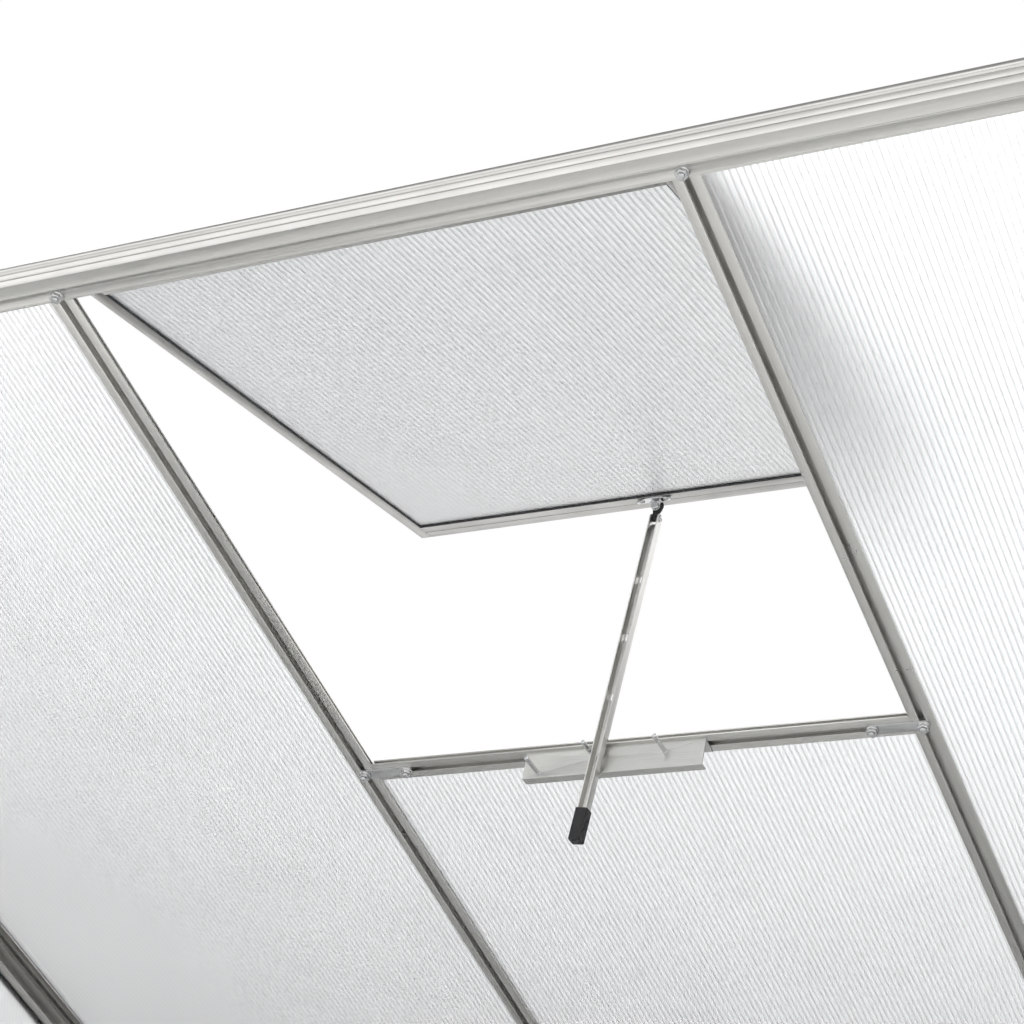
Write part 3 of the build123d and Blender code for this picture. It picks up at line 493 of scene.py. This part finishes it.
# a flanged hexagon nut, its washer face at z 0 and its crown at -z
def addNut(bm, turn, spot):
    size = fastener
    part = bmesh.new()
    nut = hexagon(part, size["acrossFlats"], size["nutHeight"] - size["hexFrom"],
                  -(size["nutHeight"] + size["hexFrom"]) / 2)
    low = min(v.co.z for v in nut)
    around = {e for v in nut for e in v.link_edges}
    soften(part, [e for e in around if all(v.co.z < low + 0.01 * mm for v in e.verts)], size["nutRounding"])
    flange = size["flangeRadius"]
    lathe(part, [(0, -1.6), (flange * 0.82, -1.6), (flange - 0.15, -0.7), (flange, -0.45), (flange, -0.05),
                 (0, -0.05)], 28)
    settle(bm, part, turn, spot)


# the threaded end of a bolt, ringed rather than wound: its tip at -z and its other end inside the nut
def addThread(bm, turn, spot, length):
    size = fastener
    part = bmesh.new()
    radius = size["boltRadius"]
    outline = [(0, -length), (radius - 0.8, -length), (radius - 0.35, -length + 0.4)]
    height = -length + size["threadFrom"]
    while height < -0.6:
        outline.append((radius, height))
        outline.append((radius - size["threadDepth"], height + size["threadPitch"] / 2))
        height += size["threadPitch"]
    outline += [(radius, 0), (0, 0)]
    lathe(part, outline, 20)
    settle(bm, part, turn, spot)


# a hexagon head with a rounded crown, its seat at z 0 and its crown at +z
def addHexHead(bm, turn, spot, flats, height):
    part = bmesh.new()
    head = hexagon(part, flats, height, height / 2)
    around = {e for v in head for e in v.link_edges}
    crown = [e for e in around if all(v.co.z > (height - 0.01) * mm for v in e.verts)]
    soften(part, crown, fastener["headRounding"])
    settle(bm, part, turn, spot)


def wallOut(points):                                     # a wall nut is thinnest along its bolt
    spread = [max(p[i] for p in points) - min(p[i] for p in points) for i in range(2)]
    if spread[0] < spread[1]:
        return Vector((1 if points[0].x > 0 else -1, 0, 0))
    return Vector((0, -1, 0))


def nutsAndBolts():
    for group, outwards in (("roof", lambda points: roofOut), ("wall", wallOut)):
        nutMesh = bmesh.new()
        ways = []
        for points in islands(group + "_nuts"):
            out = outwards(points)
            turn = standing(out)
            spot = boxMiddle(points)
            top = reach(points, out)[1]
            addNut(nutMesh, turn, spot + out * (top - spot.dot(out)))
            ways.append((spot, out, turn))
        toObject(group + "FlangeNuts", nutMesh, "zinc", "frame", group + "_nuts")
        boltMesh = bmesh.new()
        for points in islands(group + "_bolts"):
            spot = boxMiddle(points)
            near = min(ways, key=lambda way: (way[0] - spot).length)
            out, turn = near[1], near[2]
            low, high = reach(points, out)
            axisSpot = axisLine(near[0], out)            # the nut and its bolt share one line
            length = (high - low) / mm - fastener["headHeight"] - 0.1
            addThread(boltMesh, turn, axisSpot + out * (low + length * mm), length)
            addHexHead(boltMesh, turn, axisSpot + out * (high - fastener["headHeight"] * mm),
                       fastener["headFlats"], fastener["headHeight"])
        toObject(group + "SlotBolts", boltMesh, "zinc", "frame", group + "_bolts")


nutsAndBolts()
print("nuts and bolts made")


screwHead = {
    "crossHalf": 1.5,
    "crossDeep": 0.9,
    "pit": 0.55,             # radius of the recess at its bottom
    "block": 0.62,           # size and place of the four blocks, against the cross
    "blockOut": 0.72,
    "rim": 0.25,             # how much of the head's height is its straight rim
    "shank": 0.52,           # radius of the shank, against the head's
    "point": 0.6,
}


# a pan head with a cross recess: seat at z 0, crown at +z
def addPanHead(bm, turn, spot, radius, height):
    part = bmesh.new()
    size = screwHead
    half, deep, rim = size["crossHalf"], size["crossDeep"], size["rim"]
    dome = []
    for degrees in (0, 25, 45, 62):
        up = sin(radians(degrees))
        dome.append((radius * cos(radians(degrees)) ** 0.6, height * (rim + (1 - rim) * up)))
    lathe(part, [(0, 0), (radius, 0)] + dome + [(half + 0.1, height), (half, height),
                 (size["pit"], height - deep), (0, height - deep)], 24)
    for degrees in (45, 135):                            # four blocks in the round recess leave a cross
        for side in (-1, 1):
            block = bmesh.ops.create_cube(part, size=1.0)["verts"]
            bmesh.ops.scale(part, verts=block, vec=(half * size["block"] * mm, half * size["block"] * mm,
                                                    deep * mm))
            bmesh.ops.translate(part, verts=block, vec=(side * half * size["blockOut"] * mm, 0,
                                                        (height - deep / 2 - 0.02) * mm))
            bmesh.ops.rotate(part, verts=block, cent=(0, 0, 0), matrix=Matrix.Rotation(radians(degrees), 3, "Z"))
    settle(bm, part, turn, spot)


def screws(name, node, body, out, radius, height):
    bm = bmesh.new()
    for points in islands(node):
        low, high = reach(points, out)
        line = axisLine(boxMiddle(points), out)
        addPanHead(bm, standing(-out), line + out * (low + height * mm), radius, height)
        part = bmesh.new()
        shank = radius * screwHead["shank"]
        lathe(part, [(0, 0), (shank, 0), (shank, (high - low) / mm - height - screwHead["point"]),
                     (0, (high - low) / mm - height)], 16)
        settle(bm, part, standing(out), line + out * (low + height * mm))
    toObject(name, bm, "zinc", body, node)


screws("footPanScrews", "foot_screws", "frame", roofOut, 3.6, 2.4)
screws("bracketPanScrews", "stay_bracket_screws", "vent", ventOut, 3.4, 1.8)
print("screws made")


rivet = {"radius": 2.6, "rim": 0.15, "height": 1.2, "dimple": 0.9, "dimpleFloor": 0.75}


# domed heads over the corner plates of the vent, each with a dimple
def cornerRivets():
    bm = bmesh.new()
    for points in islands("vent_corner_rivets"):
        low, high = reach(points, ventOut)
        spot = boxMiddle(points)
        part = bmesh.new()
        radius, rim, deep = rivet["radius"], rivet["rim"], rivet["dimpleFloor"]
        dome = rivet["height"] - rim
        arc = [(radius * cos(radians(a)), rim + dome * sin(radians(a))) for a in range(0, 90, 15)]
        lathe(part, [(0, 0), (radius, 0)] + arc + [(rivet["dimple"], rivet["height"]), (0.75, deep),
                     (0, deep)], 20)
        settle(bm, part, standing(ventOut), spot + ventOut * (low - spot.dot(ventOut)))
    toObject("domedRivets", bm, "zinc", "vent", "vent_corner_rivets")


cornerRivets()
print("rivets made")


swivel = {
    "headRadius": 3.8,
    "headHeight": 2.6,
    "seat": 3.0,             # how far the frame's bolt head stands off the ear
    "nutFlats": 8.0,
    "nutHeight": 3.6,
}
pinHead = {"radius": 3.6, "height": 1.8, "rim": 0.5, "shank": 2.0}


def stayPivots():
    bm = bmesh.new()
    points = [point for group in islands("swivel_bolt") for point in group]
    low, high = reach(points, swivelAxis)
    line = axisLine(swivelSpot, swivelAxis)
    seat = high - swivel["headHeight"] * mm
    addPanHead(bm, standing(swivelAxis), line + swivelAxis * seat, swivel["headRadius"], swivel["headHeight"])
    addThread(bm, standing(swivelAxis), line + swivelAxis * seat, (seat - low) / mm)
    nut = min(islands("swivel_bolt"), key=lambda group: reach(group, swivelAxis)[1])
    nutTop = reach(nut, swivelAxis)[1]
    addHexHead(bm, standing(-swivelAxis), line + swivelAxis * nutTop, swivel["nutFlats"], swivel["nutHeight"])
    toObject("swivelBoltAndNut", bm, "zinc", "vent", "swivel_bolt")

    bm = bmesh.new()
    low, high = reach([vert.co for vert in nodes["stay_pin"].data.vertices], pinAxis)
    line = axisLine(pinSpot, pinAxis)
    radius, height, rim = pinHead["radius"], pinHead["height"], pinHead["rim"]
    dome = [(radius * cos(radians(a)), rim + (height - rim) * sin(radians(a))) for a in range(0, 100, 15)]
    for axis, end in ((pinAxis, high), (-pinAxis, -low)):
        part = bmesh.new()
        lathe(part, [(0, 0), (radius, 0)] + dome, 24)
        settle(bm, part, standing(axis), line + axis * (end - height * mm))
    part = bmesh.new()
    length = (high - low) / mm - 2 * height
    lathe(part, [(0, 0), (pinHead["shank"], 0), (pinHead["shank"], length), (0, length)], 20)
    settle(bm, part, standing(pinAxis), line + pinAxis * (low + height * mm))
    toObject("stayRivet", bm, "zinc", "stay", "stay_pin")


stayPivots()
print("stay pivots made")


linkShape = {
    # height above the swivel, half width across, half depth, bow towards the ridge and shift towards -x
    "sections": ((5.8, 2.2, 1.5, 0, 2.0), (5.0, 4.2, 2.1, 0, 1.9), (3.0, 5.4, 2.35, 0, 1.7),
                 (0, 5.8, 2.35, 0, 1.3), (-3.0, 5.0, 2.35, 0.2, 0.8), (-5.6, 4.1, 2.3, 0.5, 0.4),
                 (-7.8, 3.5, 2.4, 0.5, 0.1), (-10.2, 3.45, 3.0, 0.2, 0), (-12.5, 3.45, 3.5, 0, 0),
                 (-14.6, 3.4, 2.9, 0, 0), (-15.8, 3.2, 1.6, 0, 0)),
    "squareness": 0.55,
    "steps": 24,
    "swivelBoss": (4.2, 2.6),            # radius and half length
    "pinBoss": (3.3, 3.5),
    "bossRounding": 0.4,
}


def squared(size, share):                                # a circle's share, pushed out towards a square
    return size * abs(share) ** linkShape["squareness"] * (1 if share > 0 else -1)


# black moulding between the ear and the arm: a loft of rounded oblongs with a boss round each pivot
def stayLink():
    bm = bmesh.new()
    part = bmesh.new()
    rings = []
    steps = linkShape["steps"]
    for height, across, deep, bow, shift in linkShape["sections"]:
        ring = []
        for step in range(steps):
            angle = 2 * pi * step / steps
            x = squared(across, cos(angle)) - shift
            y = squared(deep, sin(angle)) + bow
            ring.append(part.verts.new((x * mm, y * mm, height * mm)))
        rings.append([part.edges.new((ring[k], ring[(k + 1) % steps])) for k in range(steps)])
    for upper, lower in zip(rings, rings[1:]):
        bmesh.ops.bridge_loops(part, edges=upper + lower)
    bmesh.ops.holes_fill(part, edges=rings[0] + rings[-1])
    settle(bm, part, linkTurn, swivelSpot)
    edge = linkShape["bossRounding"]
    for axis, spot, boss in ((swivelAxis, swivelSpot, "swivelBoss"), (pinAxis, pinSpot, "pinBoss")):
        radius, half = linkShape[boss]
        part = bmesh.new()
        lathe(part, [(0, -half), (radius - edge, -half), (radius, edge - half), (radius, half - edge),
                     (radius - edge, half), (0, half)], 24)
        settle(bm, part, standing(axis), spot)
    for face in bm.faces:
        face.smooth = True
    toObject("stayLinkMoulding", bm, "nylon", "stay_link", "stay_link")


capShape = {"corner": 1.8, "nose": 1.1, "wall": 1.35, "mouthDeep": 4.0}


def localBox(name, turn, spot):                          # a node's box in its own directions, in millimetres
    points = [turn.transposed() @ (vert.co - spot) / mm for vert in nodes[name].data.vertices]
    return [Vector([pick(p[i] for p in points) for i in range(3)]) for pick in (min, max)]


# soft cap pushed over the end of the arm: rounded corners and an open mouth
def stayCap():
    bm = bmesh.new()
    low, high = localBox("stay_end_cap", stayTurn, pinSpot)
    size = high - low
    bmesh.ops.create_cube(bm, size=1.0)
    bmesh.ops.scale(bm, verts=bm.verts, vec=size * mm)
    upright = [e for e in bm.edges if abs(e.verts[0].co.z - e.verts[1].co.z) > mm]
    soften(bm, upright, capShape["corner"], 4)
    nose = [e for e in bm.edges if all(v.co.z < (0.1 - size.z / 2) * mm for v in e.verts)]
    soften(bm, nose, capShape["nose"], 3)
    top = (size.z / 2 - 0.1) * mm
    mouth = [f for f in bm.faces if f.normal.z > 0.9 and f.calc_center_median().z > top]
    bmesh.ops.inset_region(bm, faces=mouth, thickness=capShape["wall"] * mm)
    pocket = bmesh.ops.extrude_discrete_faces(bm, faces=mouth)["faces"]
    floor = list({v for f in pocket for v in f.verts})
    bmesh.ops.translate(bm, verts=floor, vec=(0, 0, -capShape["mouthDeep"] * mm))
    cap = bmesh.new()
    settle(cap, bm, stayTurn, pinSpot + stayTurn @ ((low + high) / 2 * mm))
    toObject("staySoftCap", cap, "nylon", "stay", "stay_end_cap")


stayLink()
stayCap()
print("stay mouldings made")


ear = {
    "radius": 4.9,
    "plate": 1.5,
    "flare": 8.5,            # half width of the ear where it meets the wings
    "cheek": 0.3,
    "taper": 0.62,
    "droop": 1.6,
    "wingRounding": 0.3,
    "earRounding": 0.25,
}


# pressed bracket under the bottom rail: tapered wings whose tips dip, and a round ear for the swivel
def stayEar():
    bm = bmesh.new()
    low, high = localBox("stay_bracket", ventTurn, swivelSpot)
    plate = ear["plate"]
    rear = swivelRear()
    bmesh.ops.create_grid(bm, x_segments=20, y_segments=4, size=1.0)
    half = (high.y - rear + plate) / 2
    for vert in bm.verts:                                # a wing narrows and dips towards its tip
        along = abs(vert.co.x)
        y = rear - plate + half + vert.co.y * half * (1 - ear["taper"] * along ** 2)
        vert.co = Vector((vert.co.x * high.x, y, high.z - ear["droop"] * along ** 3)) * mm
    thicken(bm, bm.faces[:], (0, 0, -plate * mm))
    soften(bm, [e for e in bm.edges if e.is_manifold and e.calc_face_angle() > sharp], ear["wingRounding"])
    radius, top = ear["radius"], high.z - plate / 2
    arc = [pi + pi * step / 20 for step in range(21)]
    outline = [(radius * cos(angle), radius * sin(angle)) for angle in arc]
    outline += [(radius + ear["cheek"], top * 0.5), (ear["flare"], top), (-ear["flare"], top),
                (-radius - ear["cheek"], top * 0.5)]
    disc = bm.faces.new([bm.verts.new((x * mm, rear * mm, z * mm)) for x, z in outline])
    new = set(disc.verts)
    new.update(thicken(bm, [disc], (0, -plate * mm, 0)))
    rim = [e for e in bm.edges if set(e.verts) <= new and e.is_manifold and e.calc_face_angle() > sharp]
    soften(bm, rim, ear["earRounding"])
    bracket = bmesh.new()
    settle(bracket, bm, ventTurn, swivelSpot)
    toObject("pressedStayBracket", bracket, "zinc", "vent", "stay_bracket")


def swivelRear():                                        # ridge side of the ear, where the bolt head seats
    low, high = localBox("swivel_bolt", ventTurn, swivelSpot)
    return high.y - swivel["seat"]


stayEar()
print("stay bracket made")


peg = {
    "tilt": 9.0,
    "radius": 2.25,
    "tip": 0.9,
    "headRadius": 3.0,
    "headHeight": 1.2,
    "headRounding": 0.5,
    "neck": 1.5,
    "plate": 1.5,
    "shoulder": 0.35,
    "shoulderEnds": (0.8, 1.1),
}


# turned pegs: a chamfered tip, a small shoulder at the plate and a riveted head behind it
def pegs():
    bm = bmesh.new()
    out = roofTurn @ Matrix.Rotation(radians(-peg["tilt"]), 3, "X") @ Vector((0, 1, 0))
    for points in islands("bracket_pegs"):
        low, high = reach(points, out)
        spot = boxMiddle(points)
        length = (high - low) / mm
        radius, tip, head = peg["radius"], peg["tip"], peg["headHeight"]
        base = head + peg["plate"]
        rim, edge, neck = peg["headRadius"], peg["headRounding"], peg["neck"]
        wide = radius + peg["shoulder"]
        straight, slope = peg["shoulderEnds"]
        part = bmesh.new()
        lathe(part, [(0, 0), (rim - edge, 0), (rim, edge), (rim, head), (neck, head), (neck, base), (wide, base),
                     (wide, base + straight), (radius, base + slope), (radius, length - tip),
                     (radius - tip, length), (0, length)], 24)
        settle(bm, part, standing(out), spot + out * (low - spot.dot(out)))
    toObject("turnedPegs", bm, "zinc", "frame", "bracket_pegs")


pegs()
print("pegs made")


# bars and plates keep their frame shape, with the small edge rounding that a die or a press leaves
edgeRounding = {                                         # millimetres
    "slopeBar": 0.25, "levelBar": 0.25, "uprightBar": 0.25, "groundBar": 0.25, "ventBar": 0.25,
    "ventLevelBar": 0.25, "stayBar": 0.3,
    "rolled": 0.45, "zinc": 0.35, "nylon": 0.4,
}


def roundedCopy(name, key):
    bm = bmesh.new()
    bm.from_mesh(nodes[name].data)
    bmesh.ops.remove_doubles(bm, verts=bm.verts, dist=0.005 * mm)
    flat = radians(1)
    bmesh.ops.dissolve_limit(bm, angle_limit=flat, verts=bm.verts, edges=bm.edges)
    for face in bm.faces:
        face.smooth = True                               # the hardened bevel keeps flat faces flat
    piece = toObject(name + "Rounded", bm, key, bodyOf[name], name)
    bevel = piece.modifiers.new("edges", "BEVEL")
    bevel.width = edgeRounding[key] * mm
    bevel.segments = 2
    bevel.limit_method = "ANGLE"
    bevel.angle_limit = sharp
    bevel.use_clamp_overlap = True
    bevel.harden_normals = True


bodyOf = {}
for body, members in frame["record"]["behaviour"]["bodies"].items():
    for name in members:
        bodyOf[name] = body
for key in edgeRounding:
    for name in wear[key]:
        if name not in replaced:
            roundedCopy(name, key)
print("edges rounded")


# floor, sky and lights
studio = {
    "floor": ("EEEEED", "F2F2F1"),
    "floorHalf": 12,
    "floorRough": 0.8,
    "paper": 1.0,            # the plain white that the camera sees
    "sky": 1.25,             # what lights matt surfaces, a little weaker near the horizon
    "horizon": 0.6,
    "through": 1.82,         # an even, brighter sky that only the sheets pass on
    "sheen": 1.1,            # what metal mirrors, under the flags
    "flags": ((-1.0, 0.6), (1.0, 0.25), (-0.05, 0.35), (0.1, 0.3), (0.24, 1.4), (0.5, 1.3), (0.72, 0.3)),
    "lamps": {               # watts, size, place and target
        "key": (26.0, 2.0, (2.5, -2.2, 3.2), (0, 0, 0.6)),
        "fill": (8.0, 2.0, (-2.6, 1.8, 1.6), (0, 0.2, 0.7)),
    },
}


def addFloor():
    bm = bmesh.new()
    bmesh.ops.create_grid(bm, x_segments=1, y_segments=1, size=studio["floorHalf"])
    mesh = bpy.data.meshes.new("floor")
    bm.to_mesh(mesh)
    bm.free()
    floor = newObject("floor", mesh)
    material, tree, place = newMaterial("pale studio floor")
    low, high = studio["floor"]
    tone = ramp(tree, noise(tree, place, 2.0, 2.0), srgb(low), srgb(high))
    surface(tree, {"Roughness": studio["floorRough"]}, {"Base Color": tone})
    mesh.materials.append(material)


def background(tree, strength, colour=None):
    links = {"Color": colour} if colour else {}
    return addNode(tree, "ShaderNodeBackground", {"Color": (1, 1, 1, 1), "Strength": strength}, links).outputs[0]


def choose(tree, ray, other, chosen):                    # one kind of ray sees the chosen background
    return addNode(tree, "ShaderNodeMixShader", links={0: ray, 1: other, 2: chosen}).outputs[0]


def addSky():
    world = bpy.data.worlds.new("white studio")
    bpy.context.scene.world = world
    world.use_nodes = True
    world.node_tree.nodes.clear()
    tree = world.node_tree
    ray = addNode(tree, "ShaderNodeLightPath").outputs
    way = addNode(tree, "ShaderNodeTexCoord").outputs["Generated"]
    upwards = addNode(tree, "ShaderNodeSeparateXYZ", links={"Vector": way}).outputs["Z"]
    dim = studio["horizon"]
    sky = background(tree, studio["sky"], ramp(tree, upwards, (dim, dim, dim, 1), (1, 1, 1, 1), 0.02, 0.35))
    # reflections see a studio with dark flags low down and overhead
    level = addNode(tree, "ShaderNodeMapRange", {"From Min": -1.0, "From Max": 1.0}, {"Value": upwards})
    flags = addNode(tree, "ShaderNodeValToRGB", links={"Fac": level.outputs["Result"]})
    stops = flags.color_ramp.elements
    for count, (spot, grey) in enumerate(studio["flags"]):
        stop = stops[count] if count < 2 else stops.new((spot + 1) / 2)
        stop.position = (spot + 1) / 2
        stop.color = (grey, grey, grey, 1)
    seen = choose(tree, ray["Is Glossy Ray"], sky, background(tree, studio["sheen"], flags.outputs["Color"]))
    # the sheets pass on an even sky, because a rough sheet's rays count as glossy too
    seen = choose(tree, ray["Is Transmission Ray"], seen, background(tree, studio["through"]))
    seen = choose(tree, ray["Is Camera Ray"], seen, background(tree, studio["paper"]))
    addNode(tree, "ShaderNodeOutputWorld", links={"Surface": seen})


def addLight(name, watts, size, place, target):
    data = bpy.data.lights.new(name, "AREA")
    data.energy = watts
    data.size = size
    lamp = newObject(name, data)
    lamp.matrix_world = aimed(place, target)
    lamp.visible_transmission = False                    # its shape would show through the sheets


addFloor()
addSky()
for name, lamp in studio["lamps"].items():
    addLight(name, *lamp)
bpy.context.scene.view_settings.view_transform = "Standard"
bpy.context.scene.view_settings.look = "None"
print("studio lit")
